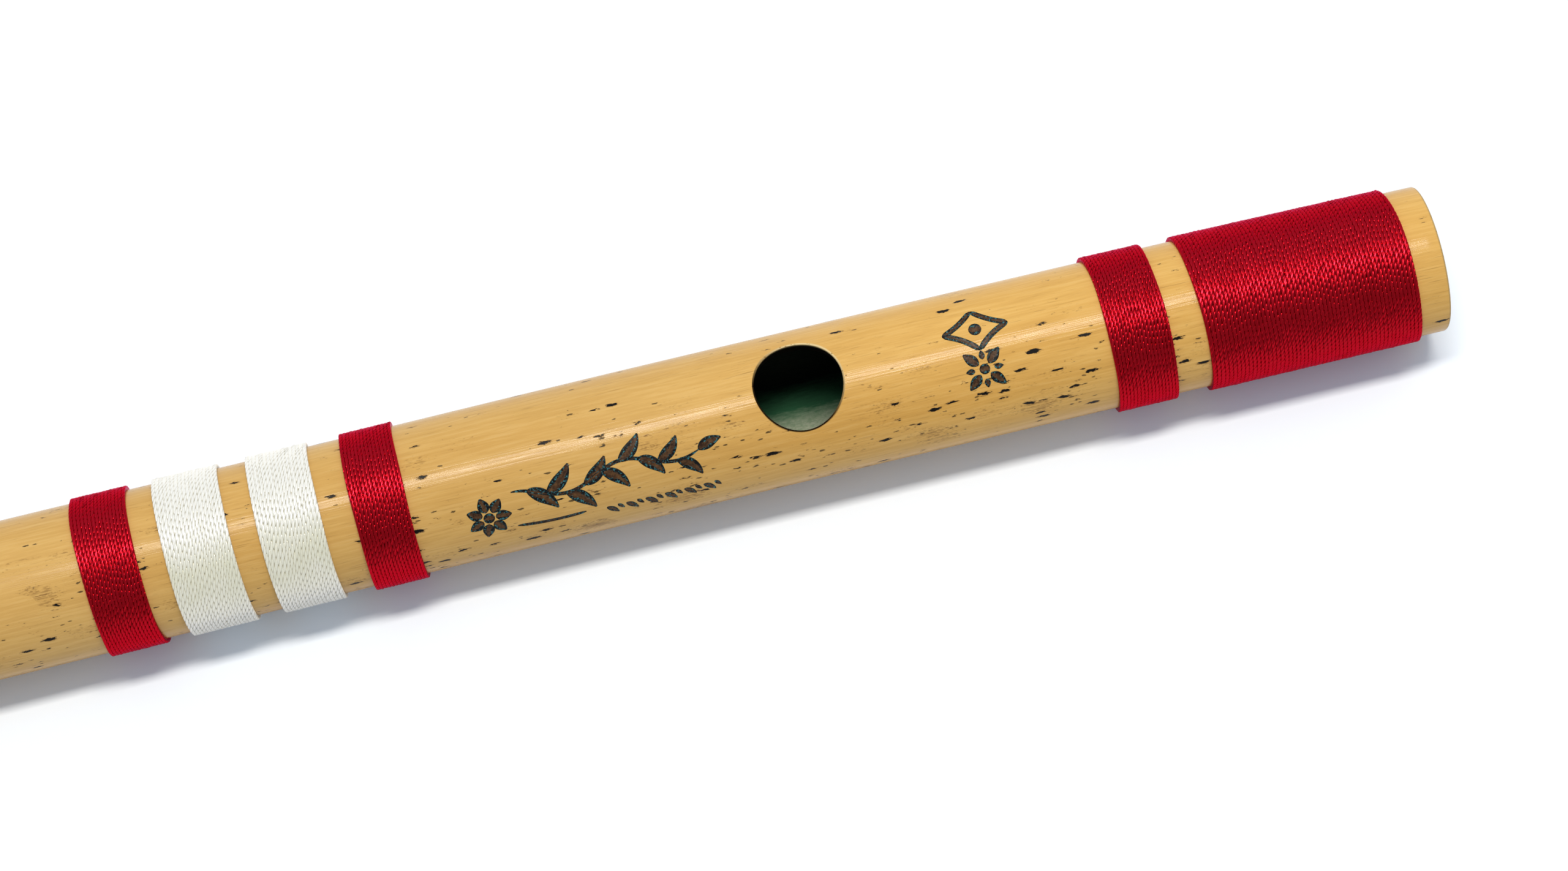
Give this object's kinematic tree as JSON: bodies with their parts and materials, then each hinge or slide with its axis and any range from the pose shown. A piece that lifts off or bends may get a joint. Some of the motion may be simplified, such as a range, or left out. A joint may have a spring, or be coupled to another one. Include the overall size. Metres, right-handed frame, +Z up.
{
  "type": "bamboo transverse flute",
  "caption": "Transverse bamboo flute with a round blow hole, finger holes, thread bindings near both ends and the middle, and a sliding cork stopper.",
  "frame": {"origin": "on the resting surface, under the middle of the flute's length", "axes": "+X along the bore towards the stoppered blowing end, +Z up through the blow hole and the finger holes"},
  "size_m": [0.355, 0.022, 0.0219],
  "materials": {
    "bamboo": "thin clear varnish over polished bamboo",
    "red_thread": "silky twisted thread",
    "white_thread": "silky twisted thread",
    "cork": "matt cut cork"
  },
  "bodies": {
    "flute": {"bamboo_tube": "bamboo", "head_end_binding": "red_thread", "head_ring_binding": "red_thread", "upper_red_binding": "red_thread", "upper_white_binding": "white_thread", "lower_white_binding": "white_thread", "lower_red_binding": "red_thread", "foot_ring_binding": "red_thread", "foot_end_binding": "red_thread"},
    "stopper": {"cork_stopper": "cork"}
  },
  "joints": [
    {"name": "stopper_slide", "type": "slide", "parent": "flute", "child": "stopper", "axis": [1, 0, 0], "range_m": [-0.008, 0.0558]}
  ]
}
